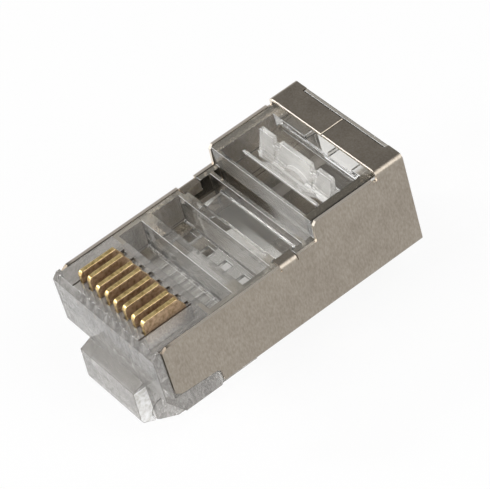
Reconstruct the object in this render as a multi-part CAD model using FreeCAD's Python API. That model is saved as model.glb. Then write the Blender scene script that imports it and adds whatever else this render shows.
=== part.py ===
import FreeCAD, Part
import math
import os

# Shielded eight-way modular plug, before it is crimped on a cable.
# X runs across the plug, Y from the nose to the cable end, Z up through the
# contacts. The origin is where the centre plane, the plane of the nose face
# and the plane of the shield's underside meet.

V = FreeCAD.Vector

# ---- shield: one folded sheet ----
plug_width = 11.68          # over the two side plates
plug_length = 21.50         # nose face to the rear edge of the sheet
full_height = 8.00          # underside to the top of the rear flaps
sheet = 0.25                # thickness of the sheet
bend_radius = 0.15          # inside radius of every fold
plate_front_y = 0.78        # front edge of the side plates
plate_chamfer = 0.42        # top front corner of a side plate
plate_toe = 0.34            # and its lower front corner
flap_length = 2.28          # rear flaps, along the plug
flap_seam = 0.06            # gap where the two flaps meet
flap_relief = 0.36          # slot in the plate's top edge beside each fold
flap_edge = 0.045           # the stamped edges of the flaps are eased by this
rim_recess = 0.36           # the flaps' rear edge stands back by this
latch_window_rear_y = 13.00 # the underside is cut away for the latch to here
latch_window_half = 3.60
lug_front_y = 10.66         # folded lug that hooks over the housing's side wall
lug_length = 1.36
lug_reach = 0.88            # how far the lug reaches in from the plate's face
lug_slit = 0.06             # slit cut at each end of the lug
lug_tip = 0.78              # the lug's tip is turned down by this

# ---- housing: one clear moulding ----
sheet_gap = 0.05            # between the moulding and the sheet round it
cheek_gap = 0.10            # ahead of the side plates' front edges
cheek_inset = 0.04          # bare plastic lies this far inside the sheet's face
front_deck_z = 5.90
rear_deck_drop = 0.52       # the high deck lies this far below the flaps
deck_step_y = 13.82         # where the low deck steps up to the high one
nose_chamfer = 0.40
bevel_top_z = 1.70          # the nose slopes back below this height
bevel_foot_y = 1.15
foot_rear_y = 4.32          # rear end of the bare foot under the side plates
foot_front_z = 1.60         # top of the foot at the nose
foot_rear_z = 1.38          # and at its rear end
side_wall_half = 5.10       # inside of the thin side walls
pocket_floor_z = 3.55
pocket_draft = 0.06         # a pocket is this much longer at the deck, each end
pocket_foot = 0.14          # chamfer along the rear foot of a pocket
pocket_1 = (5.28, 7.07)     # front and rear of the first open pocket
pocket_2 = (8.05, 10.20)
pocket_3 = (10.94, 12.95)   # a shallow one, over the wires' throat
pocket_3_floor_z = 4.90
pocket_3_floor = 0.55       # thickness of its floor
pocket_3_half = 4.10        # beyond this it is open down to the cavity
slot_behind_bar = 0.56      # slot down to the cavity ahead of the high deck
wire_window = (0.80, 0.68)  # square hole down to every second wire channel
wire_window_y = 9.06
low_edge_chamfer = 0.16     # clears the inside of the sheet's lower folds
window_half = 4.75          # window in the high deck round the clamp bar
window_y = (14.05, 18.65)
window_web = 0.50           # cross web behind the clamp bar
rear_pocket_half = 3.80     # three shallow cores that run in under the flaps
rear_pocket_length = 1.70
rear_pocket_depth = 0.30
rear_pocket_rib = 0.12
rear_pocket_lip = 0.12      # left standing in front of the first core only
rim_drop = 0.05             # top of the rim below the flaps
rim_half = 4.40
rim_gap = 0.10              # between the flaps' rear edge and the rim

# ---- cable cavity ----
cavity_half = 4.70
cavity_floor_z = 0.95
cavity_roof = 0.60          # between the cavity and the high deck
cavity_corner = 0.80
cavity_front_y = 12.10
funnel_front_y = 10.60
funnel_height = 1.10

# ---- contacts and their slots ----
contact_count = 8
contact_pitch = 1.016
blade = 0.35                # thickness of a contact
slot_side_gap = 0.025       # on each face of a contact
blade_front_y = 0.99
blade_length = 3.43
blade_top_z = 6.80
blade_nose_radius = 0.34
blade_heel = (0.49, 0.90)   # slope at the rear of the top edge: along, down
blade_body = 2.45           # top edge down to the root of the teeth
tooth_length = 0.85
crimp_travel = 0.90
slot_front_gap = 0.04
slot_rear_y = 4.62
even_set_back = 0.06        # every second contact stands a little back
even_raise = 0.12           # and a little higher
channel_radius = 0.45
channel_z = 2.85
channel_front_y = 0.55
channel_rear_y = 7.90       # behind this the channels run into one flat way
flat_way_half = 4.10

# ---- latch: springs at the chin, moulded with the housing ----
latch_width = 6.20
tail_width = 3.25
latch_pivot_y = 0.75
latch_pivot_z = -1.41
latch_root_radius = 0.85
latch_pivot_gap = 0.05
latch_fall = 28.0           # slope of the root below the plug, degrees
latch_bottom_z = -2.85
latch_thickness = 1.32
latch_shoulder_y = 8.36     # the jack catches these two shoulders
tail_thickness = 0.92
tail_end_y = 14.00
tail_drop = 0.50
shoulder_chamfer = 0.35
chin_reach = 1.05           # the chin stands this far ahead of the nose
chin_top_z = 1.32
chin_corner = 0.48

# ---- cable clamp bar in the window ----
clamp_half = 4.06
clamp_pivot_y = 17.45
clamp_pivot_drop = 1.60     # heights of the bar are given from the high deck
clamp_knuckle_radius = 0.24
clamp_pivot_gap = 0.05
clamp_front_y = 15.30       # the lip along the front of the bar
clamp_lip_drop = 0.53
clamp_lip = 0.20
clamp_trough_y = 16.22      # rear foot of the trough behind the lip
clamp_trough_drop = 1.33
clamp_well_half = 2.30      # the trough is deeper outside this
clamp_well = 0.62
clamp_wall_foot_y = 16.42   # the wall leans back from here
clamp_wall_top_y = 16.93
clamp_wall = 0.32
clamp_wall_half = 3.90
clamp_wall_rise = 0.40
clamp_bite = 0.46           # the edge that bites the cable, below the pivot
clamp_notch_half = 2.05     # middle of each notch in the upright wall
clamp_notch = 0.72
clamp_notch_depth = 0.55
clamp_groove = 0.36         # groove in the wall's face below each notch
clamp_arch_half = 1.15      # low arched opening at the foot of the wall
clamp_arch_rise = 0.36

# ---- sizes that follow ----
rear_deck_z = full_height - rear_deck_drop
rim_height = full_height - rim_drop
cavity_roof_z = rear_deck_z - cavity_roof
throat_roof_z = pocket_3_floor_z - pocket_3_floor
clamp_pivot_z = rear_deck_z - clamp_pivot_drop
clamp_lip_z = rear_deck_z - clamp_lip_drop
clamp_trough_z = rear_deck_z - clamp_trough_drop
clamp_wall_top_z = rear_deck_z + clamp_wall_rise
clamp_edge_z = clamp_pivot_z - clamp_bite
face_x = plug_width / 2
inner_x = face_x - sheet
body_half = inner_x - sheet_gap
cheek_half = face_x - cheek_inset
flap_front_y = plug_length - flap_length
plate_low_z = front_deck_z + cheek_inset
plate_high_z = rear_deck_z + cheek_inset
underside_z = sheet + sheet_gap
blade_slot = blade + 2 * slot_side_gap
slot_bottom_z = blade_top_z - blade_body - tooth_length - crimp_travel - 0.10
latch_half = latch_width / 2
tail_half = tail_width / 2
outer_bend = bend_radius + sheet


def block(x0, x1, y0, y1, z0, z1):
    return Part.makeBox(x1 - x0, y1 - y0, z1 - z0, V(x0, y0, z0))


def along(points, y0, y1):
    """A cross section in (x, z), drawn out along the plug."""
    corners = [V(x, y0, z) for x, z in points]
    face = Part.Face(Part.makePolygon(corners + [corners[0]]))
    return face.extrude(V(0, y1 - y0, 0))


def across(points, half):
    """A side profile in (y, z), drawn out to both sides of the centre plane."""
    corners = [V(-half, y, z) for y, z in points]
    face = Part.Face(Part.makePolygon(corners + [corners[0]]))
    return face.extrude(V(2 * half, 0, 0))


def rod(y, z, radius, half):
    return Part.makeCylinder(radius, 2 * half, V(-half, y, z), V(1, 0, 0))


def round_section(half, z0, z1, radius, y):
    """A closed wire across the plug: a rectangle with round corners."""
    corners = ((-1, -1), (1, -1), (1, 1), (-1, 1))
    edges = []
    spots = []
    for sx, sz in corners:
        cx = sx * (half - radius)
        cz = (z0 + radius) if sz < 0 else (z1 - radius)
        turn = radius * math.sqrt(0.5)
        along_z = V(sx * half, y, cz)
        along_x = V(cx, y, z0 if sz < 0 else z1)
        middle = V(cx + sx * turn, y, cz + sz * turn)
        first, last = (along_z, along_x) if sx == sz else (along_x, along_z)
        spots.append((first, middle, last))
    for number, (first, middle, last) in enumerate(spots):
        edges.append(Part.Arc(first, middle, last).toShape())
        following = spots[(number + 1) % 4][0]
        edges.append(Part.makeLine(last, following))
    return Part.Wire(edges)


def tunnel(half, z0, z1, radius, y0, y1):
    wire = round_section(half, z0, z1, radius, y0)
    return Part.Face(wire).extrude(V(0, y1 - y0, 0))


def contact_places():
    first = -contact_pitch * (contact_count - 1) / 2
    return [first + contact_pitch * number for number in range(contact_count)]


# ---------------------------------------------------------------- housing

def outer_moulding():
    """The stepped body, its bare cheeks and foot, and the rim at the rear."""
    body = across([
        (bevel_foot_y, 0), (0, bevel_top_z), (0, front_deck_z - nose_chamfer),
        (nose_chamfer, front_deck_z), (deck_step_y, front_deck_z),
        (deck_step_y, rear_deck_z), (plug_length, rear_deck_z),
        (plug_length, underside_z), (foot_rear_y + 0.2, underside_z),
        (foot_rear_y, 0)], body_half)
    strip_y = plate_front_y - cheek_gap
    cheeks = across([
        (bevel_foot_y, 0), (0, bevel_top_z), (0, front_deck_z - nose_chamfer),
        (nose_chamfer, front_deck_z), (strip_y, front_deck_z),
        (strip_y, foot_front_z), (foot_rear_y - 0.22, foot_rear_z),
        (foot_rear_y, foot_rear_z - 0.25), (foot_rear_y, 0.22),
        (foot_rear_y - 0.22, 0)], cheek_half)
    rim_y = plug_length - rim_recess + rim_gap
    rim = block(-rim_half, rim_half, rim_y, plug_length,
                rear_deck_z - 0.2, rim_height)
    return body.fuse([cheeks, rim]).removeSplitter()


def low_edges():
    """Prisms that take off the two long lower edges inside the shield."""
    cuts = []
    c = low_edge_chamfer
    for side in (-1, 1):
        x = side * body_half
        cuts.append(along([(x - side * c, underside_z), (x, underside_z + c),
                           (x + side, underside_z + c), (x + side, -1),
                           (x - side * c, -1)],
                          foot_rear_y + 0.12, plug_length + 1))
    return cuts


def chin():
    """The lump ahead of the nose that the latch springs from."""
    slope = math.tan(math.radians(latch_fall))
    heel_y = -chin_reach + chin_corner
    heel_z = latch_pivot_z - 0.25
    lip_y = latch_pivot_y - latch_root_radius
    solid = across([
        (0.3, bevel_top_z), (0, bevel_top_z), (0.12 - chin_reach, chin_top_z),
        (-chin_reach, heel_z + chin_corner), (-chin_reach + 0.14, heel_z + 0.14),
        (heel_y, heel_z), (lip_y, heel_z - slope * (lip_y - heel_y)),
        (latch_pivot_y, latch_pivot_z), (latch_pivot_y + 0.45, 0.3)], latch_half)
    seat = rod(latch_pivot_y, latch_pivot_z,
               latch_root_radius + latch_pivot_gap, latch_half + 1)
    return solid.cut(seat)


def pocket(span, floor_z):
    """An open pocket across the deck, a little longer at the top."""
    front, rear = span
    return across([
        (front, floor_z), (front - pocket_draft, front_deck_z + 1),
        (rear + pocket_draft, front_deck_z + 1), (rear, floor_z + pocket_foot),
        (rear - pocket_foot, floor_z)], side_wall_half)


def cable_cavity():
    """The cable's room, narrowing to the row of wire channels."""
    room = tunnel(cavity_half, cavity_floor_z, cavity_roof_z, cavity_corner,
                  cavity_front_y, plug_length + 1)
    low_roof = block(-face_x, face_x, 0, deck_step_y + 0.4,
                     throat_roof_z, full_height)
    room = room.cut(low_roof)
    throat_half = contact_pitch * contact_count / 2
    throat = round_section(throat_half, channel_z - funnel_height / 2,
                           channel_z + funnel_height / 2, 0.3, funnel_front_y)
    mouth = round_section(cavity_half, cavity_floor_z, throat_roof_z,
                          0.3, cavity_front_y)
    return room.fuse(Part.makeLoft([throat, mouth], True, True))


def wire_ways():
    """Slots for the contacts over the row of round wire channels."""
    cuts = []
    for number, x in enumerate(contact_places()):
        back = even_set_back if number % 2 else 0
        cuts.append(block(x - blade_slot / 2, x + blade_slot / 2,
                          blade_front_y - slot_front_gap, slot_rear_y + back,
                          slot_bottom_z, front_deck_z + 1))
        cuts.append(Part.makeCylinder(
            channel_radius, channel_rear_y - channel_front_y,
            V(x, channel_front_y, channel_z), V(0, 1, 0)))
    cuts.append(tunnel(flat_way_half, channel_z - channel_radius,
                       channel_z + channel_radius, 0.30,
                       channel_rear_y - channel_radius, funnel_front_y + 0.2))
    return cuts


def wire_windows():
    """Square holes from the second pocket to every second channel."""
    wide, long = wire_window
    return [block(x - wide / 2, x + wide / 2, wire_window_y,
                  wire_window_y + long, channel_z, pocket_floor_z + 0.1)
            for x in contact_places()[::2]]


def throat_ends():
    """Beside its floor the third pocket is open down to the throat."""
    front, rear = pocket_3
    return [block(min(side * pocket_3_half, side * side_wall_half),
                  max(side * pocket_3_half, side * side_wall_half),
                  front, rear, channel_z, pocket_3_floor_z + 0.2)
            for side in (-1, 1)]


def rear_cores():
    """Three shallow cores side by side that run in under the flaps."""
    width = (2 * rear_pocket_half - 2 * rear_pocket_rib) / 3
    front = window_y[1]
    cuts = []
    for number in range(3):
        x = -rear_pocket_half + number * (width + rear_pocket_rib)
        start = front if number else front + rear_pocket_lip
        cuts.append(block(x, x + width, start, front + rear_pocket_length,
                          rear_deck_z - rear_pocket_depth, rear_deck_z + 0.1))
    return cuts


def lug_notches():
    cuts = []
    room = 0.10
    for side in (-1, 1):
        near = side * (face_x - lug_reach - room)
        far = side * face_x
        cuts.append(block(min(near, far), max(near, far),
                          lug_front_y - room, lug_front_y + lug_length + room,
                          front_deck_z - 2 * outer_bend, front_deck_z + 1))
    return cuts


def clamp_web():
    """Cross web behind the clamp bar, hollowed along its front edge."""
    middle = clamp_pivot_z
    web = block(-window_half - 0.2, window_half + 0.2, clamp_pivot_y,
                window_y[1] + 0.3, middle - window_web / 2,
                middle + window_web / 2)
    seat = rod(clamp_pivot_y, clamp_pivot_z,
               clamp_knuckle_radius + clamp_pivot_gap, face_x)
    return web.cut(seat)


def housing():
    solid = outer_moulding().fuse(chin())
    cuts = [pocket(pocket_1, pocket_floor_z), pocket(pocket_2, pocket_floor_z),
            pocket(pocket_3, pocket_3_floor_z), cable_cavity()]
    slot_rear = deck_step_y
    cuts.append(block(-side_wall_half, side_wall_half,
                      slot_rear - slot_behind_bar, slot_rear,
                      throat_roof_z - 0.1, front_deck_z + 0.01))
    cuts.append(block(-window_half, window_half, window_y[0], window_y[1],
                      cavity_roof_z - 2 * cavity_roof, full_height))
    cuts += wire_ways() + wire_windows() + throat_ends() + rear_cores()
    cuts += lug_notches() + low_edges()
    return solid.cut(cuts).fuse(clamp_web()).removeSplitter()


# ----------------------------------------------------------------- latch

def latch():
    """A springing tongue: round root, wide part with shoulders, narrow tail."""
    fall = math.radians(latch_fall)
    across_y, across_z = math.sin(fall), math.cos(fall)
    under_y = latch_pivot_y - latch_root_radius * across_y
    under_z = latch_pivot_z - latch_root_radius * across_z
    knee_y = under_y + (under_z - latch_bottom_z) / math.tan(fall)
    over_y = latch_pivot_y + latch_root_radius * across_y
    over_z = latch_pivot_z + latch_root_radius * across_z
    top_z = latch_bottom_z + latch_thickness
    top_y = over_y + (over_z - top_z) / math.tan(fall)
    c = shoulder_chamfer
    wide = across([
        (under_y, under_z), (knee_y, latch_bottom_z),
        (latch_shoulder_y, latch_bottom_z), (latch_shoulder_y, top_z - c),
        (latch_shoulder_y - c, top_z), (top_y, top_z), (over_y, over_z)],
        latch_half)
    root = rod(latch_pivot_y, latch_pivot_z, latch_root_radius, latch_half)
    end_z = latch_bottom_z - tail_drop
    tail = across([
        (latch_shoulder_y - tail_thickness, latch_bottom_z),
        (latch_shoulder_y, latch_bottom_z), (tail_end_y - 0.25, end_z),
        (tail_end_y, end_z + 0.25), (tail_end_y, end_z + tail_thickness - 0.2),
        (tail_end_y - 0.2, end_z + tail_thickness),
        (latch_shoulder_y + 0.4, latch_bottom_z + tail_thickness),
        (latch_shoulder_y - 0.4, latch_bottom_z + tail_thickness)], tail_half)
    return root.fuse([wide, tail]).removeSplitter()


# -------------------------------------------------------- cable clamp bar

def clamp_bar():
    """Lip, trough and leaning wall over the edge that bites the cable."""
    lean = clamp_wall_top_y - clamp_wall_foot_y
    wall_rear_y = clamp_wall_top_y + clamp_wall
    foot_rear_y = clamp_wall_foot_y + clamp_wall + 0.35
    bar = across([
        (clamp_front_y, clamp_lip_z - clamp_lip), (clamp_front_y, clamp_lip_z),
        (clamp_front_y + clamp_lip, clamp_lip_z),
        (clamp_trough_y, clamp_trough_z), (foot_rear_y, clamp_trough_z),
        (foot_rear_y + 0.3, clamp_pivot_z), (foot_rear_y - 0.1, clamp_edge_z),
        (foot_rear_y - 0.5, clamp_edge_z)], clamp_half)
    wall = across([
        (clamp_wall_foot_y - 0.1 * lean, clamp_trough_z - 0.2),
        (clamp_wall_foot_y, clamp_trough_z),
        (clamp_wall_top_y, clamp_wall_top_z), (wall_rear_y, clamp_wall_top_z),
        (foot_rear_y, clamp_trough_z), (foot_rear_y, clamp_trough_z - 0.2)],
        clamp_wall_half)
    knuckle = rod(clamp_pivot_y, clamp_pivot_z, clamp_knuckle_radius, clamp_half)
    bar = bar.fuse([wall, knuckle])
    return bar.cut(clamp_cuts(wall_rear_y)).removeSplitter()


def clamp_cuts(wall_rear_y):
    """Notches and grooves in the wall, the two wells, and the low arch."""
    notch_foot_z = clamp_wall_top_z - clamp_notch_depth
    lean = clamp_wall_top_y - clamp_wall_foot_y
    cuts = []
    for side in (-1, 1):
        x = side * clamp_notch_half
        cuts.append(block(x - clamp_notch / 2, x + clamp_notch / 2,
                          clamp_wall_foot_y, wall_rear_y + 0.3,
                          notch_foot_z, clamp_wall_top_z + 1))
        groove = across([
            (clamp_wall_foot_y - 0.3, clamp_trough_z + 0.05),
            (clamp_wall_foot_y + 0.12, clamp_trough_z + 0.05),
            (clamp_wall_top_y + 0.12 - 0.3 * lean, notch_foot_z + 0.01),
            (clamp_wall_foot_y - 0.3, notch_foot_z + 0.01)], clamp_groove / 2)
        cuts.append(groove.translated(V(x, 0, 0)))
        near, far = sorted((side * clamp_well_half, side * (clamp_half + 1)))
        well = across([
            (clamp_front_y + clamp_lip, clamp_lip_z + 0.2),
            (clamp_front_y + clamp_lip, clamp_lip_z - 0.1),
            (clamp_trough_y - 0.05, clamp_trough_z - clamp_well),
            (clamp_wall_foot_y - 0.02, clamp_trough_z - clamp_well),
            (clamp_wall_foot_y - 0.02, clamp_lip_z + 0.2)], (far - near) / 2)
        cuts.append(well.translated(V((near + far) / 2, 0, 0)))
    arch = Part.Arc(V(-clamp_arch_half, clamp_trough_y - 0.08, clamp_trough_z),
                    V(0, clamp_trough_y - 0.08, clamp_trough_z + clamp_arch_rise),
                    V(clamp_arch_half, clamp_trough_y - 0.08, clamp_trough_z))
    chord = Part.makeLine(V(clamp_arch_half, clamp_trough_y - 0.08, clamp_trough_z),
                          V(-clamp_arch_half, clamp_trough_y - 0.08, clamp_trough_z))
    lens = Part.Face(Part.Wire([arch.toShape(), chord]))
    cuts.append(lens.extrude(V(0, clamp_arch_half, 0)))
    return cuts


# --------------------------------------------------------------- contacts

def contact(number, x):
    """A stamped blade: round nose on top, three teeth for the wire below."""
    back = even_set_back if number % 2 else 0
    lift = even_raise if number % 2 else 0
    y0 = blade_front_y + back
    y1 = y0 + blade_length - 2 * back
    top = blade_top_z + lift
    root = top - blade_body
    tip = root - tooth_length
    nose = blade_nose_radius
    run, drop = blade_heel
    turn = math.sqrt(0.5)

    def at(y, z):
        return V(x - blade / 2, y, z)

    tooth = (y1 - y0 - 0.30) / 3
    bottom = [at(y1, root)]
    for step in range(3):
        rear = y1 - 0.15 - step * tooth
        bottom += [at(rear, root), at(rear - tooth / 2, tip),
                   at(rear - tooth, root)]
    bottom.append(at(y0, root))
    edges = [
        Part.makeLine(at(y0, root), at(y0, top - nose)),
        Part.Arc(at(y0, top - nose),
                 at(y0 + nose - nose * turn, top - nose + nose * turn),
                 at(y0 + nose, top)).toShape(),
        Part.makeLine(at(y0 + nose, top), at(y1 - run, top)),
        Part.makeLine(at(y1 - run, top), at(y1, top - drop)),
        Part.makeLine(at(y1, top - drop), at(y1, root))]
    for first, last in zip(bottom, bottom[1:]):
        if (last - first).Length > 1e-6:
            edges.append(Part.makeLine(first, last))
    return Part.Face(Part.Wire(edges)).extrude(V(blade, 0, 0))


# ----------------------------------------------------------------- shield

def lugs():
    """Two ears of the sheet, folded in over the housing's side walls."""
    ears = []
    top_z = plate_low_z
    for side in (-1, 1):
        mid_x = side * (face_x - outer_bend)
        mid_z = top_z - outer_bend
        start = V(mid_x, lug_front_y, mid_z)
        outer = Part.makeCylinder(outer_bend, lug_length, start, V(0, 1, 0))
        inner = Part.makeCylinder(bend_radius, lug_length, start, V(0, 1, 0))
        corner = block(min(mid_x, side * face_x), max(mid_x, side * face_x),
                       lug_front_y, lug_front_y + lug_length, mid_z, top_z)
        fold = outer.cut(inner).common(corner)
        tip_x = side * (face_x - lug_reach)
        leaf = block(min(mid_x, tip_x), max(mid_x, tip_x), lug_front_y,
                     lug_front_y + lug_length, top_z - sheet, top_z)
        hook_x = tip_x + side * sheet
        hook = block(min(hook_x, tip_x), max(hook_x, tip_x), lug_front_y,
                     lug_front_y + lug_length, top_z - lug_tip, top_z)
        ears += [fold, leaf, hook]
    return ears


def flap_edges():
    """Eased top edges where the sheet was cut: flap fronts and the seam."""
    c = flap_edge
    top = full_height
    front = across([
        (flap_front_y - 1, top + 1), (flap_front_y - 1, top - c),
        (flap_front_y, top - c), (flap_front_y + c, top),
        (flap_front_y + c, top + 1)], face_x + 1)
    edge = flap_seam / 2
    seam = along([(-edge, top - c), (edge, top - c), (edge + c, top),
                  (edge + c, top + 1), (-edge - c, top + 1), (-edge - c, top)],
                 flap_front_y - 1, plug_length + 1)
    return [front, seam]


def shield():
    """A sheet folded round the housing, then trimmed to its outline."""
    outer = tunnel(face_x, 0, full_height, outer_bend,
                   plate_front_y, plug_length)
    inner = tunnel(inner_x, sheet, full_height - sheet, bend_radius,
                   plate_front_y - 1, plug_length + 1)
    tube = outer.cut(inner)
    above = full_height + 1
    top_trim = across([
        (-1, above), (-1, plate_low_z - plate_chamfer),
        (plate_front_y, plate_low_z - plate_chamfer * 0.6),
        (plate_front_y + plate_chamfer, plate_low_z),
        (deck_step_y - 0.12, plate_low_z), (deck_step_y - 0.04, plate_high_z - 0.27),
        (deck_step_y + 0.20, plate_high_z),
        (flap_front_y - flap_relief, plate_high_z),
        (flap_front_y - flap_relief, plate_high_z - 0.18),
        (flap_front_y, plate_high_z - 0.18), (flap_front_y, above)], face_x + 1)
    step = cheek_inset
    low_trim = across([
        (-1, -1), (-1, foot_front_z + step + plate_toe),
        (plate_front_y, foot_front_z + step + plate_toe),
        (plate_front_y + 1.3 * plate_toe, foot_front_z + step),
        (foot_rear_y - 0.20, foot_rear_z + step),
        (foot_rear_y + 0.10, foot_rear_z - 0.22),
        (foot_rear_y + 0.10, 0.36), (foot_rear_y + 0.42, -0.02),
        (foot_rear_y + 0.42, -1)], face_x + 1)
    seam = block(-flap_seam / 2, flap_seam / 2, flap_front_y - 1,
                 plug_length + 1, full_height - 0.6, above)
    recess = block(-rim_half - cheek_inset, rim_half + cheek_inset,
                   plug_length - rim_recess, plug_length + 1,
                   full_height - 0.6, above)
    latch_room = block(-latch_window_half, latch_window_half, -1,
                       latch_window_rear_y, -1, 1)
    ears_room = block(-face_x - 1, face_x + 1, lug_front_y,
                      lug_front_y + lug_length,
                      plate_low_z - outer_bend, above)
    slits = []
    for y in (lug_front_y - lug_slit, lug_front_y + lug_length):
        slits.append(block(-face_x - 1, face_x + 1, y, y + lug_slit,
                           plate_low_z - outer_bend - 0.02, above))
    trimmed = tube.cut([top_trim, low_trim, seam, recess, latch_room,
                        ears_room] + slits)
    trimmed = trimmed.cut(flap_edges())
    return trimmed.fuse(lugs()).removeSplitter()


def save(shape, name):
    solids = shape.Solids
    if len(solids) != 1 or not shape.isValid():
        print(name, "has", len(solids), "solids, valid:", shape.isValid())
    solids[0].exportStep("parts/" + name + ".step")


os.makedirs("parts", exist_ok=True)
save(housing(), "housing")
save(shield(), "shield")
save(latch(), "latch")
save(clamp_bar(), "cable_clamp_bar")
for number, x in enumerate(contact_places()):
    save(contact(number, x), "contact_%d" % (number + 1))
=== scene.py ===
import math

import bpy
from mathutils import Matrix, Vector


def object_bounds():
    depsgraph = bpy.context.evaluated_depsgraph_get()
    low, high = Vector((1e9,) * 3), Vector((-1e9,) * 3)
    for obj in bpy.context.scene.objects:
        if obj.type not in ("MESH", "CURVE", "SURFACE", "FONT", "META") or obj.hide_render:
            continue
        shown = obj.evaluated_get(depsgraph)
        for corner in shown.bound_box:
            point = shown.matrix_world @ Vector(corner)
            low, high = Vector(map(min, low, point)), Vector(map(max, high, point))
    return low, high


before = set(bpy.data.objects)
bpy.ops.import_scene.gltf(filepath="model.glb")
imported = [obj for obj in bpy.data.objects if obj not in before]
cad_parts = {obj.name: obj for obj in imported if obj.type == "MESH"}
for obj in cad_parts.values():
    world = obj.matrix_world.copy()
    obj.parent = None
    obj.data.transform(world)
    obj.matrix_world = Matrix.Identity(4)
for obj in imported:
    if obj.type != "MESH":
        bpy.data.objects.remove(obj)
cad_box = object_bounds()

# ------------------------------------------------------------- CLEAR HOUSING
# The housing is one moulding of clear polycarbonate. Polished steel cores form its contact
# slots, wire channels, pockets and cable cavity, and the eye sees little of it but the edges
# of its walls and the sheet behind them.

MM = 0.001                 # a millimetre in metres

HOUSING_COLOUR = "#EAE9E6"
HOUSING_CLEARNESS = 0.985
HOUSING_ROUGHNESS = (0.0, 0.04)
MOULDED_IOR = 1.50         # polycarbonate has 1.585, and a little less matches its edges
WORN_EDGE = 0.09           # rounding of the moulded edges
WAVE_HEIGHT = 0.05
LAMP_SHARE = 0.88          # of a lamp's light that the skin lets straight through
LAST_WALL = 7.5            # a ray that has met more surfaces than this goes straight on

# Sizes of the patterns, in millimetres, and how each is stretched along X, Y and Z.
FLOW_WAVE = 1.2            # slow waves that the melt leaves as it fills the mould
CORE_LINE = 0.20           # tool marks of the cores, coarser than the real 0.05 so as to show
CORE_LINE_STRETCH = (0.12, 1.0, 1.0)
NOSE_SWIRL = 0.35          # swirls where the melt closes round the contact slots
NOSE_SWIRL_STRETCH = (1.0, 1.0, 0.5)
TORN_GRAIN = 0.30          # the torn gate, coarser than the real 0.1 so as to show

# Facing: a level of 1 is a floor or deck and 0 is a wall.
WALL_LEVEL = (0.5, 0.1)    # a wall from the first level down to the second
FLAT_LEVEL = 0.9           # flat above this
ROUNDED_LEVEL = (0.50, 0.42)     # middle and half width
SIDEWAYS = 0.9             # a wall that faces across the plug, above this
EDGE_LIKENESS = (0.99, 0.90)     # of the rounded normal to the true one, from no edge to edge
AHEAD, ABOVE, EDGE_SPREAD = -0.60, 0.60, 0.35   # edges that look ahead and up

# The range of each pattern's noise, from where the pattern is nothing to where it is full.
LINE_RANGE = (0.45, 0.65)
WAVE_RANGE = (0.3, 0.7)
VEIN_RANGE = (0.38, 0.62)
TORN_RANGE = (0.25, 0.65)
WAVE_STRENGTH = 0.10
FLOOR_SATIN = 0.35         # inner floors are satin by this, and the third pocket's plate fully

# Places by one coordinate each, in millimetres: X across, Y back from the nose, Z up to the
# contacts. COMPARE has the middle and half width of a band, and the others have a limit.
PLACES = {
    "chin right": ("X", "GREATER_THAN", 3.07),
    "chin height": ("Z", "LESS_THAN", 1.28),
    "chin reach": ("Y", "LESS_THAN", 0.05),
    "contact row": ("|X|", "LESS_THAN", 3.85),
    "contact row ends": ("|X|", "COMPARE", 3.80, 0.07),
    "contact length": ("Y", "COMPARE", 2.5, 2.2),
    "behind contacts": ("Y", "GREATER_THAN", 4.9),
    "low deck or higher": ("Z", "GREATER_THAN", 5.85),
    "just below low deck": ("Z", "COMPARE", 5.10, 0.76),
    "deep inside": ("Z", "COMPARE", 2.8, 1.95),
    "pocket floor": ("Z", "COMPARE", 3.55, 0.04),
    "second pocket rear": ("Y", "COMPARE", 10.20, 0.03),
    "third pocket": ("Y", "COMPARE", 11.95, 1.02),
    "third pocket floor": ("Z", "COMPARE", 4.90, 0.04),
    "cavity": ("Y", "GREATER_THAN", 13.0),
    "slot ahead of step": ("Y", "COMPARE", 13.54, 0.30),
    "step": ("Y", "COMPARE", 13.82, 0.03),
    "high deck or higher": ("Z", "GREATER_THAN", 7.42),
    "right border": ("X", "GREATER_THAN", 4.72),
    "right margin": ("X", "GREATER_THAN", 5.42),
    "above high deck": ("Z", "GREATER_THAN", 7.52),
    "behind flaps": ("Y", "GREATER_THAN", 21.12),
    "rim front": ("Y", "COMPARE", 21.24, 0.02),
}

# Places that come on slowly, from the first value of the coordinate to the second.
RAMPS = {
    "nose": ("Y", "SMOOTHSTEP", 9.0, 4.0),
    "slot tops": ("Z", "LINEAR", 5.55, 5.75),
    "middle": ("|X|", "SMOOTHSTEP", 4.6, 1.5),
    "beside pockets": ("|X|", "LINEAR", 3.95, 4.35),
    "left half": ("X", "SMOOTHSTEP", 2.0, -0.5),
    "left end": ("X", "SMOOTHSTEP", -3.6, -4.6),
    "left of step": ("X", "LINEAR", 1.5, -3.5),
}

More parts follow.
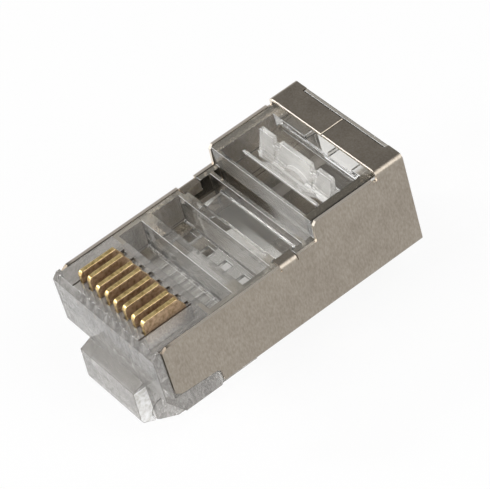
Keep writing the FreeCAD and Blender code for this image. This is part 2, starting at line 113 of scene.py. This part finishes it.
# Each finish lies where all the places after its name meet.
FINISHES = {
    # walls drawn off their cores, the plate in the third pocket, and the floors lower down
    "satin": ("upright", "core lines"),
    "satin plate": ("third pocket", "third pocket floor", "middle"),
    "inner floors": ("flat", "deep inside"),
    # the rough rim behind the flaps, with painted shadow on its front face
    "rim": ("behind flaps", "above high deck"),
    "groove shadow": ("rim", "rim front"),
    # the trimmed gate on the chin
    "scar": ("chin right", "chin height", "chin reach"),
    # painted highlights on the edges of the bars and of the step that look ahead and up
    "glint": ("edge ahead", "edge above", "behind contacts", "thin edge"),
    # the deck on each side of the pockets
    "strips": ("beside pockets", "low deck or higher", "behind contacts", "flat"),
    # the sides of the contact slots, painted shadow at their tops, and painted shadow on the
    # lips of the two outermost
    "slots": ("contact row", "sideways", "contact length"),
    "shadowed slot mouths": ("slot tops", "slots"),
    "outer lip shadows": ("contact row ends", "contact length", "low deck or higher", "flat"),
    # the step up to the high deck and the rear wall of the second pocket
    "risers": ("step or rear wall", "upright"),
    "shaded step": ("left of step", "risers"),
    # the rounded foot of the cable cavity
    "round foot": ("rounded", "deep inside", "cavity"),
    # painted shade in the slot ahead of the step, and in the left ends of the pockets
    "cleft": ("slot ahead of step", "left half"),
    "pocket corners": ("pocket floor", "left end"),
    "nook": ("left end", "third pocket"),
    # painted shade on the right side of the high deck, darker still along the sheet
    "high deck": ("high deck or higher", "flat"),
    "shaded border": ("right border", "high deck"),
    "shaded margin": ("right margin", "high deck"),
    # steep faces of the milky nose
    "veined": ("steep", "nose"),
}

# How rough each finish is rubbed, and then what the finishes add to clearness and roughness.
RUBBING = (("rim", 1.0), ("scar", 1.0), ("glint", 1.0), ("strips", 0.5), ("slots", 0.35),
           ("shadowed slot mouths", 0.8), ("round foot", 1.1), ("risers", 0.35))
CLEARING = (("satin", -0.08), ("satin floors", -0.10), ("rubbed", -0.65), ("nose", -0.18))
ROUGHENING = (("satin", 0.06), ("nose", 0.07), ("satin floors", 0.35), ("rubbed", 0.35))
NOSE_RELIEF = (("nose", 0.20), ("veined", 0.40))

# The tint of each finish, laid over the ones before it. MULTIPLY only darkens what is there.
NOSE_DECK = "#CBC8C4"
VEIN_DARK, VEIN_LIGHT = "#A9A6A2", "#DCDAD7"
TORN_DARK, TORN_LIGHT = "#C4C1BA", "#FFFFFF"
TINTS = (
    ("nose", "MIX", "milky veins"),
    ("satin floors", "MIX", "#A9A8A4"),
    ("strips", "MIX", "#A7A196"),
    # painted shadow at the tops of the contact slots and on the outer lips
    ("shadowed slot mouths", "MIX", "#3B322A"),
    # painted shade in the slot ahead of the step and in the left ends of the pockets
    ("painted corner shade", "MULTIPLY", "#7A746B"),
    ("round foot", "MIX", "#8A847B"),
    ("rim", "MIX", "#A8A39A"),
    # painted shadow on the rim's front face
    ("groove shadow", "MIX", "#35322D"),
    ("scar", "MIX", "torn white"),
    # painted highlight on the edges that look ahead and up
    ("glint", "MIX", "#FFFFFF"),
    # painted shade along the sheet on the high deck's right side
    ("shaded margin", "MIX", "#4A453D"),
    ("shaded step", "MULTIPLY", "#B4B0A9"),
    # painted shade on the high deck's right border
    ("shaded border", "MULTIPLY", "#C8C4BC"),
    # painted shade on all other thin edges
    ("painted edge shade", "MULTIPLY", "#736E66"),
)


def linear(hex_colour):
    """An sRGB hex colour turned to linear light: a power law above a short straight toe."""
    parts = [int(hex_colour[i:i + 2], 16) / 255 for i in (1, 3, 5)]
    return tuple(c / 12.92 if c <= 0.04045 else ((c + 0.055) / 1.055) ** 2.4
                 for c in parts) + (1.0,)


def add(tree, kind, settings=None, inputs=None):
    """Adds a node; settings are its properties, and inputs are values or sockets to link."""
    node = tree.nodes.new(kind)
    for name, value in (settings or {}).items():
        setattr(node, name, value)
    for name, value in (inputs or {}).items():
        if isinstance(value, bpy.types.NodeSocket):
            tree.links.new(value, node.inputs[name])
        else:
            node.inputs[name].default_value = value
    return node


def start_material(name):
    """An empty material, its node tree, and the place on the piece in metres."""
    material = bpy.data.materials.new(name)
    material.use_nodes = True
    tree = material.node_tree
    tree.nodes.clear()
    place = add(tree, "ShaderNodeTexCoord").outputs["Object"]
    return material, tree, place


def clear_polycarbonate(name, colour, clearness, roughness):
    """Clear moulded polycarbonate with a finish for each place.

    All of it has slow flow waves, and satin tool lines on its walls. "at" holds a mask from 0
    to 1 for each place, way of facing and finish: a finish is the product of its places.
    Weighted sums of the finishes give clearness and roughness, and their tints, painted shade
    and painted highlights among them, are laid over the base colour in turn. The nose is
    milkier, with swirls in its relief."""
    material, tree, place = start_material(name)

    spot = add(tree, "ShaderNodeSeparateXYZ", inputs={"Vector": place})
    across = add(tree, "ShaderNodeMath", {"operation": "ABSOLUTE"}, {0: spot.outputs["X"]})
    along = {axis: spot.outputs[axis] for axis in "XYZ"}
    along["|X|"] = across.outputs[0]
    at = {}
    for where, (axis, test, *sizes) in PLACES.items():
        limits = {slot: size * MM for slot, size in enumerate(sizes, 1)}
        at[where] = add(tree, "ShaderNodeMath", {"operation": test},
                        {0: along[axis], **limits}).outputs[0]
    for where, (axis, ease, start, full) in RAMPS.items():
        at[where] = add(tree, "ShaderNodeMapRange", {"interpolation_type": ease},
                        {"Value": along[axis], "From Min": start * MM,
                         "From Max": full * MM}).outputs[0]
    at["step or rear wall"] = add(tree, "ShaderNodeMath", {"operation": "ADD"},
                                  {0: at["step"], 1: at["second pocket rear"]}).outputs[0]

    # Which way the surface faces.
    surface = add(tree, "ShaderNodeNewGeometry").outputs["Normal"]
    facing = add(tree, "ShaderNodeSeparateXYZ", inputs={"Vector": surface})
    level = add(tree, "ShaderNodeMath", {"operation": "ABSOLUTE"},
                {0: facing.outputs["Z"]}).outputs[0]
    sideways = add(tree, "ShaderNodeMath", {"operation": "ABSOLUTE"}, {0: facing.outputs["X"]})
    at["upright"] = add(tree, "ShaderNodeMapRange",
                        inputs={"Value": level, "From Min": WALL_LEVEL[0],
                                "From Max": WALL_LEVEL[1]}).outputs[0]
    at["flat"] = add(tree, "ShaderNodeMath", {"operation": "GREATER_THAN"},
                     {0: level, 1: FLAT_LEVEL}).outputs[0]
    at["steep"] = add(tree, "ShaderNodeMath", {"operation": "SUBTRACT"},
                      {0: 1.0, 1: at["flat"]}).outputs[0]
    at["rounded"] = add(tree, "ShaderNodeMath", {"operation": "COMPARE"},
                        {0: level, 1: ROUNDED_LEVEL[0], 2: ROUNDED_LEVEL[1]}).outputs[0]
    at["sideways"] = add(tree, "ShaderNodeMath", {"operation": "GREATER_THAN"},
                         {0: sideways.outputs[0], 1: SIDEWAYS}).outputs[0]

    # Near an edge the rounded normal leaves the true one. Edges that look ahead and up get a
    # painted highlight, and the others a painted shade.
    edge = add(tree, "ShaderNodeBevel", {"samples": 6}, {"Radius": WORN_EDGE * MM}).outputs[0]
    likeness = add(tree, "ShaderNodeVectorMath", {"operation": "DOT_PRODUCT"},
                   {0: edge, 1: surface})
    at["thin edge"] = add(tree, "ShaderNodeMapRange",
                          inputs={"Value": likeness.outputs["Value"],
                                  "From Min": EDGE_LIKENESS[0],
                                  "From Max": EDGE_LIKENESS[1]}).outputs[0]
    turned = add(tree, "ShaderNodeSeparateXYZ", inputs={"Vector": edge})
    at["edge ahead"] = add(tree, "ShaderNodeMath", {"operation": "COMPARE"},
                           {0: turned.outputs["Y"], 1: AHEAD, 2: EDGE_SPREAD}).outputs[0]
    at["edge above"] = add(tree, "ShaderNodeMath", {"operation": "COMPARE"},
                           {0: turned.outputs["Z"], 1: ABOVE, 2: EDGE_SPREAD}).outputs[0]

    flow = add(tree, "ShaderNodeTexNoise",
               inputs={"Vector": place, "Scale": 1 / (FLOW_WAVE * MM), "Detail": 3.0}).outputs[0]
    drawn = add(tree, "ShaderNodeMapping", inputs={"Vector": place, "Scale": CORE_LINE_STRETCH})
    lines = add(tree, "ShaderNodeTexNoise",
                inputs={"Vector": drawn.outputs[0], "Scale": 1 / (CORE_LINE * MM),
                        "Detail": 3.0})
    at["core lines"] = add(tree, "ShaderNodeMapRange",
                           inputs={"Value": lines.outputs[0], "From Min": LINE_RANGE[0],
                                   "From Max": LINE_RANGE[1]}).outputs[0]

    for finish, (first, *others) in FINISHES.items():
        at[finish] = at[first]
        for other in others:
            at[finish] = add(tree, "ShaderNodeMath", {"operation": "MULTIPLY"},
                             {0: at[finish], 1: at[other]}).outputs[0]
    at["painted edge shade"] = add(tree, "ShaderNodeMath", {"operation": "SUBTRACT"},
                          {0: at["thin edge"], 1: at["glint"]}).outputs[0]
    at["satin floors"] = add(tree, "ShaderNodeMath", {"operation": "MULTIPLY_ADD"},
                             {0: at["inner floors"], 1: FLOOR_SATIN,
                              2: at["satin plate"]}).outputs[0]
    at["shadowed slot mouths"] = add(tree, "ShaderNodeMath", {"operation": "MAXIMUM"},
                       {0: at["shadowed slot mouths"], 1: at["outer lip shadows"]}).outputs[0]
    # painted shade in those recesses, below the low deck
    dim = add(tree, "ShaderNodeMath", {"operation": "MAXIMUM"},
              {0: at["cleft"], 1: at["nook"]})
    dim = add(tree, "ShaderNodeMath", {"operation": "MULTIPLY"},
              {0: dim.outputs[0], 1: at["just below low deck"]})
    at["painted corner shade"] = add(tree, "ShaderNodeMath", {"operation": "MAXIMUM"},
                            {0: dim.outputs[0], 1: at["pocket corners"]}).outputs[0]

    # The sums. Roughness starts from a polish that wanders with the flow waves.
    polish = add(tree, "ShaderNodeMapRange",
                 inputs={"Value": flow, "From Min": WAVE_RANGE[0],
                         "From Max": WAVE_RANGE[1], "To Min": roughness[0],
                         "To Max": roughness[1]})
    for total, start, weights in (("rubbed", 0.0, RUBBING),
                                  ("clearness", clearness, CLEARING),
                                  ("roughness", polish.outputs[0], ROUGHENING),
                                  ("nose relief", 0.0, NOSE_RELIEF)):
        at[total] = start
        for finish, weight in weights:
            at[total] = add(tree, "ShaderNodeMath", {"operation": "MULTIPLY_ADD"},
                            {0: at[finish], 1: weight, 2: at[total]}).outputs[0]

    # The relief: the flow waves over the rounded edges, and the swirls of the nose over those.
    pulled = add(tree, "ShaderNodeMapping",
                 inputs={"Vector": place, "Scale": NOSE_SWIRL_STRETCH})
    swirl = add(tree, "ShaderNodeTexNoise",
                inputs={"Vector": pulled.outputs[0], "Scale": 1 / (NOSE_SWIRL * MM),
                        "Detail": 3.0, "Distortion": 1.5}).outputs[0]
    waves = add(tree, "ShaderNodeBump",
                inputs={"Height": flow, "Strength": WAVE_STRENGTH,
                        "Distance": WAVE_HEIGHT * MM, "Normal": edge})
    relief = add(tree, "ShaderNodeBump",
                 inputs={"Height": swirl, "Strength": at["nose relief"],
                         "Distance": WAVE_HEIGHT * MM, "Normal": waves.outputs[0]})

    # The tints. The veins show on the steep faces of the nose, and its deck has one tone.
    vein = add(tree, "ShaderNodeMapRange",
               inputs={"Value": swirl, "From Min": VEIN_RANGE[0],
                       "From Max": VEIN_RANGE[1]})
    veins = add(tree, "ShaderNodeMix", {"data_type": "RGBA"},
                {"Factor": vein.outputs[0], "A": linear(VEIN_DARK), "B": linear(VEIN_LIGHT)})
    veins = add(tree, "ShaderNodeMix", {"data_type": "RGBA"},
                {"Factor": at["steep"], "A": linear(NOSE_DECK), "B": veins.outputs["Result"]})
    torn = add(tree, "ShaderNodeTexNoise",
               inputs={"Vector": place, "Scale": 1 / (TORN_GRAIN * MM), "Detail": 3.0})
    torn = add(tree, "ShaderNodeMapRange",
               inputs={"Value": torn.outputs[0], "From Min": TORN_RANGE[0],
                       "From Max": TORN_RANGE[1]})
    torn = add(tree, "ShaderNodeMix", {"data_type": "RGBA"},
               {"Factor": torn.outputs[0], "A": linear(TORN_DARK), "B": linear(TORN_LIGHT)})
    patterned = {"milky veins": veins.outputs["Result"], "torn white": torn.outputs["Result"]}
    tint = linear(colour)
    for finish, blend, hue in TINTS:
        over = patterned[hue] if hue in patterned else linear(hue)
        tint = add(tree, "ShaderNodeMix", {"data_type": "RGBA", "blend_type": blend},
                   {"Factor": at[finish], "A": tint, "B": over}).outputs["Result"]
    shader = add(tree, "ShaderNodeBsdfPrincipled",
                 inputs={"Base Color": tint, "IOR": MOULDED_IOR,
                         "Transmission Weight": at["clearness"],
                         "Roughness": at["roughness"], "Normal": relief.outputs[0]})

    # For a lamp's rays the skin is nearly open, so that the lamp reaches what lies inside.
    path = add(tree, "ShaderNodeLightPath")
    lamplight = add(tree, "ShaderNodeMath", {"operation": "MULTIPLY"},
                    {0: path.outputs["Is Shadow Ray"], 1: LAMP_SHARE})
    spent = add(tree, "ShaderNodeMath", {"operation": "GREATER_THAN"},
                {0: path.outputs["Ray Depth"], 1: LAST_WALL})
    passed = add(tree, "ShaderNodeMath", {"operation": "MAXIMUM"},
                 {0: lamplight.outputs[0], 1: spent.outputs[0]})
    through = add(tree, "ShaderNodeBsdfTransparent", inputs={"Color": (1, 1, 1, 1)})
    skin = add(tree, "ShaderNodeMixShader",
               inputs={"Fac": passed.outputs[0], 1: shader.outputs[0], 2: through.outputs[0]})
    add(tree, "ShaderNodeOutputMaterial", inputs={"Surface": skin.outputs[0]})
    return material


def dress(names, material):
    """Gives CAD nodes their finish."""
    for name in names:
        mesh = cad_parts[name].data
        mesh.materials.clear()
        mesh.materials.append(material)


clear = clear_polycarbonate("clear moulded polycarbonate", HOUSING_COLOUR, HOUSING_CLEARNESS,
                            HOUSING_ROUGHNESS)
dress(["housing"], clear)

# --------------------------------------------------------------------- LATCH
# The latch is part of the same clear moulding. It springs from the chin under
# the nose, and two shoulders on it catch the jack.

dress(["latch"], clear)

# ----------------------------------------------------------------- CLAMP BAR
# The bar in the rear window is of the same moulding too, but its core is spark
# textured, so it is frostier. It is pressed down on the cable by the crimp.

BAR_COLOUR = "#F8F7F4"
BAR_CLEARNESS = 0.80
BAR_ROUGHNESS = (0.01, 0.04)

frosted = clear_polycarbonate("spark textured polycarbonate", BAR_COLOUR, BAR_CLEARNESS,
                              BAR_ROUGHNESS)
dress(["cable_clamp_bar"], frosted)

# ------------------------------------------------------------------ CONTACTS
# Eight blades stamped from phosphor bronze strip and plated with gold. The top edge is smoother
# and painted lighter as a painted highlight, and the stamped faces are rougher, browner and
# painted darker as shade.

# the top edge's colour carries a painted highlight, and the faces' colour a painted shade
GOLD_EDGE_HIGHLIGHT, GOLD_FACE_SHADE = "#FFE3A2", "#DDC3A4"
GOLD_WORN = "#C6B8A8"
GOLD_ROUGHNESS = (0.22, 0.42)
FACE_DULLING = 0.22        # the stamped faces are rougher by this
STAMPED_GRAIN = 0.15       # grain of the rolled strip, coarser than the real 0.02 so as to show
WORN_PATCH = 0.25          # patches where the plating is thin
WORN_RANGE = (0.4, 0.7)
BLADE_EDGE = 0.10          # rounding of the blades' edges
CONTACTS = 8


def gold_plating():
    """Gold over stamped bronze, grained: a painted highlight on the top edge, and painted shade
    on the browner faces.
    """
    material, tree, place = start_material("gold plated bronze blade")
    surface = add(tree, "ShaderNodeNewGeometry")
    facing = add(tree, "ShaderNodeSeparateXYZ", inputs={"Vector": surface.outputs["Normal"]})
    face = add(tree, "ShaderNodeMath", {"operation": "ABSOLUTE"}, {0: facing.outputs["X"]})
    grain = add(tree, "ShaderNodeTexNoise",
                inputs={"Vector": place, "Scale": 1 / (STAMPED_GRAIN * MM), "Detail": 4.0})
    patches = add(tree, "ShaderNodeTexNoise",
                  inputs={"Vector": place, "Scale": 1 / (WORN_PATCH * MM), "Detail": 5.0})
    worn = add(tree, "ShaderNodeMapRange",
               inputs={"Value": patches.outputs[0], "From Min": WORN_RANGE[0],
                       "From Max": WORN_RANGE[1]})
    colour = add(tree, "ShaderNodeMix", {"data_type": "RGBA"},
                 {"Factor": face.outputs[0], "A": linear(GOLD_EDGE_HIGHLIGHT), "B": linear(GOLD_FACE_SHADE)})
    colour = add(tree, "ShaderNodeMix", {"data_type": "RGBA", "blend_type": "MULTIPLY"},
                 {"Factor": worn.outputs[0], "A": colour.outputs["Result"],
                  "B": linear(GOLD_WORN)})
    rough = add(tree, "ShaderNodeMapRange",
                inputs={"Value": grain.outputs[0], "To Min": GOLD_ROUGHNESS[0],
                        "To Max": GOLD_ROUGHNESS[1]})
    rough = add(tree, "ShaderNodeMath", {"operation": "MULTIPLY_ADD"},
                {0: face.outputs[0], 1: FACE_DULLING, 2: rough.outputs[0]})
    edge = add(tree, "ShaderNodeBevel", {"samples": 6}, {"Radius": BLADE_EDGE * MM})
    shader = add(tree, "ShaderNodeBsdfPrincipled",
                 inputs={"Base Color": colour.outputs["Result"], "Metallic": 1.0,
                         "Roughness": rough.outputs[0], "Normal": edge.outputs[0]})
    add(tree, "ShaderNodeOutputMaterial", inputs={"Surface": shader.outputs[0]})
    return material


dress(["contact_%d" % n for n in range(1, CONTACTS + 1)], gold_plating())

# -------------------------------------------------------------------- SHIELD
# One sheet of nickel-plated copper alloy, 0.25 mm thick, blanked, folded round the housing and
# hooked over its walls. Barrel plating leaves it warm grey and slightly mottled, with bright
# lines at the folds. Its cut edges are painted bright, as bare metal and as a painted highlight.

NICKEL_DARK, NICKEL_LIGHT = "#9A9186", "#B2AA9F"
NICKEL_PITS = "#DCD9D3"
CUT_BARE_AND_HIGHLIGHT, CUT_SHADE = "#E9DFD2", "#6A6156"      # cut edges, bare metal with a painted highlight, and painted shade on those at the very front
INNER_DULL = "#6B6459"     # insides of the side plates, low down
NICKEL_ROUGHNESS = (0.30, 0.45)
INNER_DULLING = 0.30       # those insides are rougher by this
MOTTLE = 1.6               # slow mottling from the plating barrel
ROLLED_GRAIN = 0.12        # grain of the rolled sheet, coarser than the real 0.03 so as to show
ROLLED_STRETCH = (1.0, 1.0, 0.4)
PIT_RANGE = (0.25, 0.75)
GRAIN_DEPTH = 0.01
GRAIN_STRENGTH = 0.07
FACES_ALONG = 0.5          # a cut across the plug faces along it by more than this
FACES_UP = 0.95            # and the top cut of a side plate faces up by more than this
PLATE_INSIDE = 5.57        # the side plates lie outside this
FLAP_UNDERSIDE = 7.6       # the rear flaps lie above this
CUT_FADE = (1.7, 1.15)     # along the plug, from bright cut edges to ones painted dark as shade
DULL_HEIGHT = 1.2
FACES_IN = -0.0001         # product of place and facing that tells an inner face


def nickel_plating():
    """Dull nickel on rolled sheet: soft mottling, drawn grain, and cut edges painted bright, as
    bare metal and as a painted highlight, with painted shade on those at the very front.

    A cut edge faces along the plug, or faces up on a side plate below the flaps. An inner face
    has its place and its facing across the plug of opposite sign."""
    material, tree, place = start_material("dull nickel plated sheet")
    mottle = add(tree, "ShaderNodeTexNoise",
                 inputs={"Vector": place, "Scale": 1 / (MOTTLE * MM), "Detail": 5.0,
                         "Roughness": 0.55})
    drawn = add(tree, "ShaderNodeMapping", inputs={"Vector": place, "Scale": ROLLED_STRETCH})
    grain = add(tree, "ShaderNodeTexNoise",
                inputs={"Vector": drawn.outputs[0], "Scale": 1 / (ROLLED_GRAIN * MM),
                        "Detail": 3.0})
    pits = add(tree, "ShaderNodeMapRange",
               inputs={"Value": grain.outputs[0], "From Min": PIT_RANGE[0],
                       "From Max": PIT_RANGE[1]})

    spot = add(tree, "ShaderNodeSeparateXYZ", inputs={"Vector": place})
    across = add(tree, "ShaderNodeMath", {"operation": "ABSOLUTE"}, {0: spot.outputs["X"]})
    surface = add(tree, "ShaderNodeNewGeometry")
    facing = add(tree, "ShaderNodeSeparateXYZ", inputs={"Vector": surface.outputs["Normal"]})
    lengthwise = add(tree, "ShaderNodeMath", {"operation": "ABSOLUTE"},
                     {0: facing.outputs["Y"]})
    end_cut = add(tree, "ShaderNodeMath", {"operation": "GREATER_THAN"},
                  {0: lengthwise.outputs[0], 1: FACES_ALONG})
    top_cut = add(tree, "ShaderNodeMath", {"operation": "GREATER_THAN"},
                  {0: facing.outputs["Z"], 1: FACES_UP})
    below_flaps = add(tree, "ShaderNodeMath", {"operation": "LESS_THAN"},
                      {0: spot.outputs["Z"], 1: FLAP_UNDERSIDE * MM})
    side_plate = add(tree, "ShaderNodeMath", {"operation": "GREATER_THAN"},
                     {0: across.outputs[0], 1: PLATE_INSIDE * MM})
    for limit in (below_flaps, side_plate):
        top_cut = add(tree, "ShaderNodeMath", {"operation": "MULTIPLY"},
                      {0: top_cut.outputs[0], 1: limit.outputs[0]})
    cut = add(tree, "ShaderNodeMath", {"operation": "MAXIMUM"},
              {0: end_cut.outputs[0], 1: top_cut.outputs[0]})
    foremost = add(tree, "ShaderNodeMapRange",
                   inputs={"Value": spot.outputs["Y"], "From Min": CUT_FADE[0] * MM,
                           "From Max": CUT_FADE[1] * MM})
    outward = add(tree, "ShaderNodeMath", {"operation": "MULTIPLY"},
                  {0: facing.outputs["X"], 1: spot.outputs["X"]})
    inner = add(tree, "ShaderNodeMath", {"operation": "LESS_THAN"},
                {0: outward.outputs[0], 1: FACES_IN * MM})
    low_down = add(tree, "ShaderNodeMath", {"operation": "LESS_THAN"},
                   {0: spot.outputs["Z"], 1: DULL_HEIGHT * MM})
    dull = add(tree, "ShaderNodeMath", {"operation": "MULTIPLY"},
               {0: inner.outputs[0], 1: low_down.outputs[0]})

    colour = add(tree, "ShaderNodeMix", {"data_type": "RGBA"},
                 {"Factor": mottle.outputs[0], "A": linear(NICKEL_DARK),
                  "B": linear(NICKEL_LIGHT)})
    colour = add(tree, "ShaderNodeMix", {"data_type": "RGBA", "blend_type": "MULTIPLY"},
                 {"Factor": pits.outputs[0], "A": colour.outputs["Result"],
                  "B": linear(NICKEL_PITS)})
    cut_colour = add(tree, "ShaderNodeMix", {"data_type": "RGBA"},
                     {"Factor": foremost.outputs[0], "A": linear(CUT_BARE_AND_HIGHLIGHT),
                      "B": linear(CUT_SHADE)})
    colour = add(tree, "ShaderNodeMix", {"data_type": "RGBA"},
                 {"Factor": cut.outputs[0], "A": colour.outputs["Result"],
                  "B": cut_colour.outputs["Result"]})
    colour = add(tree, "ShaderNodeMix", {"data_type": "RGBA"},
                 {"Factor": dull.outputs[0], "A": colour.outputs["Result"],
                  "B": linear(INNER_DULL)})
    rough = add(tree, "ShaderNodeMapRange",
                inputs={"Value": mottle.outputs[0], "To Min": NICKEL_ROUGHNESS[0],
                        "To Max": NICKEL_ROUGHNESS[1]})
    rough = add(tree, "ShaderNodeMath", {"operation": "MULTIPLY_ADD"},
                {0: dull.outputs[0], 1: INNER_DULLING, 2: rough.outputs[0]})
    tooth = add(tree, "ShaderNodeBump",
                inputs={"Height": grain.outputs[0], "Strength": GRAIN_STRENGTH,
                        "Distance": GRAIN_DEPTH * MM})
    shader = add(tree, "ShaderNodeBsdfPrincipled",
                 inputs={"Base Color": colour.outputs["Result"], "Metallic": 1.0,
                         "Roughness": rough.outputs[0], "Normal": tooth.outputs[0]})
    add(tree, "ShaderNodeOutputMaterial", inputs={"Surface": shader.outputs[0]})
    return material


dress(["shield"], nickel_plating())

# --------------------------------------------------------------------- FLOOR
# A plain sheet of white card under the plug. The view, reflections and what is seen through
# the clear plastic show it as a white backdrop, and it keeps a part of the plug's shadow.

CARD_COLOUR = "#F4F4F4"
CARD_HALF = 0.4
CARD_GLOW = 0.9            # share of the backdrop's white over the shadow
THROUGH_PLASTIC = -0.55    # less of it where it is seen through the plastic

lowest, highest = cad_box
corners = [(-CARD_HALF, -CARD_HALF), (CARD_HALF, -CARD_HALF),
           (CARD_HALF, CARD_HALF), (-CARD_HALF, CARD_HALF)]
card_mesh = bpy.data.meshes.new("floor")
card_mesh.from_pydata([(x, y, lowest[2]) for x, y in corners], [], [(0, 1, 2, 3)])
card = bpy.data.objects.new("floor", card_mesh)
bpy.context.scene.collection.objects.link(card)
white_card, tree, _ = start_material("white card")
path = add(tree, "ShaderNodeLightPath")
seen = add(tree, "ShaderNodeMath", {"operation": "MAXIMUM"},
           {0: path.outputs["Is Camera Ray"], 1: path.outputs["Is Glossy Ray"]})
seen = add(tree, "ShaderNodeMath", {"operation": "MAXIMUM"},
           {0: seen.outputs[0], 1: path.outputs["Is Transmission Ray"]})
share = add(tree, "ShaderNodeMath", {"operation": "MULTIPLY_ADD"},
            {0: path.outputs["Is Transmission Ray"], 1: THROUGH_PLASTIC, 2: CARD_GLOW})
share = add(tree, "ShaderNodeMath", {"operation": "MULTIPLY"},
            {0: seen.outputs[0], 1: share.outputs[0]})
matt = add(tree, "ShaderNodeBsdfDiffuse", inputs={"Color": linear(CARD_COLOUR)})
glow = add(tree, "ShaderNodeEmission", inputs={"Color": (1, 1, 1, 1), "Strength": 1.0})
both = add(tree, "ShaderNodeMixShader",
           inputs={"Fac": share.outputs[0], 1: matt.outputs[0], 2: glow.outputs[0]})
add(tree, "ShaderNodeOutputMaterial", inputs={"Surface": both.outputs[0]})
card_mesh.materials.append(white_card)

# -------------------------------------------------------------------- STUDIO
# A white backdrop all round that darkens towards the ceiling by height alone, and three lamps:
# a small strip high on the left, a softbox ahead, and a tall one high on the right.

DARKENING = (0.15, 0.60)   # from this height above the horizon to this one, as a sine
BACKDROP, CEILING = 1.0, 0.30
LAMP_DISTANCE = 0.30

world = bpy.data.worlds.new("soft studio")
bpy.context.scene.world = world
world.use_nodes = True
tree = world.node_tree
tree.nodes.clear()
way = add(tree, "ShaderNodeTexCoord").outputs["Generated"]
height = add(tree, "ShaderNodeSeparateXYZ", inputs={"Vector": way})
strength = add(tree, "ShaderNodeMapRange", {"interpolation_type": "SMOOTHSTEP"},
               {"Value": height.outputs["Z"], "From Min": DARKENING[0],
                "From Max": DARKENING[1], "To Min": BACKDROP, "To Max": CEILING})
backdrop = add(tree, "ShaderNodeBackground",
               inputs={"Color": (1, 1, 1, 1), "Strength": strength.outputs[0]})
add(tree, "ShaderNodeOutputWorld", inputs={"Surface": backdrop.outputs[0]})


def softbox(name, direction, size, power):
    """A lamp, wide and high by size, that hangs in a direction from the plug and faces it."""
    light = bpy.data.lights.new(name, "AREA")
    light.shape = "RECTANGLE"
    light.size, light.size_y = size
    light.energy = power
    lamp = bpy.data.objects.new(name, light)
    bpy.context.scene.collection.objects.link(lamp)
    middle = Vector([(a + b) / 2 for a, b in zip(lowest, highest)])
    way = Vector(direction).normalized()
    lamp.location = middle + way * LAMP_DISTANCE
    lamp.rotation_euler = (-way).to_track_quat("-Z", "Y").to_euler()


softbox("left strip", (-0.66, -0.51, 0.55), (0.035, 0.045), 0.20)
softbox("front softbox", (-0.10, -1.0, 0.75), (0.12, 0.12), 0.35)
softbox("side softbox", (0.68, 0.31, 0.66), (0.14, 0.32), 0.5)

# -------------------------------------------------------------------- CAMERA
# A long lens looks down on the plug from its right, a little ahead of the
# nose. The plug is tipped nose down in the view, so the camera leans.

AZIMUTH = 64.483
ELEVATION = 42.911
LEAN = 17.241
DISTANCE = 0.2010
AIM = Vector((0.000125, 0.011412, 0.003709))
LENS = 221.51
SENSOR = 36
NEAREST, FARTHEST = 0.01, 5

turn, lift, lean = (math.radians(angle) for angle in (AZIMUTH, ELEVATION, LEAN))
forward = Vector((-math.sin(turn) * math.cos(lift), math.cos(turn) * math.cos(lift),
                  -math.sin(lift)))
right = forward.cross(Vector((0, 0, 1))).normalized()
up = right.cross(forward)
up = up * math.cos(lean) + right * math.sin(lean)
right = forward.cross(up)
optics = bpy.data.cameras.new("camera")
optics.lens = LENS
optics.sensor_width = SENSOR
optics.clip_start, optics.clip_end = NEAREST, FARTHEST
camera = bpy.data.objects.new("camera", optics)
bpy.context.scene.collection.objects.link(camera)
stand = Matrix((right, up, -forward)).transposed().to_4x4()
stand.translation = AIM - forward * DISTANCE
camera.matrix_world = stand
bpy.context.scene.camera = camera
bpy.context.scene.view_settings.view_transform = "Standard"
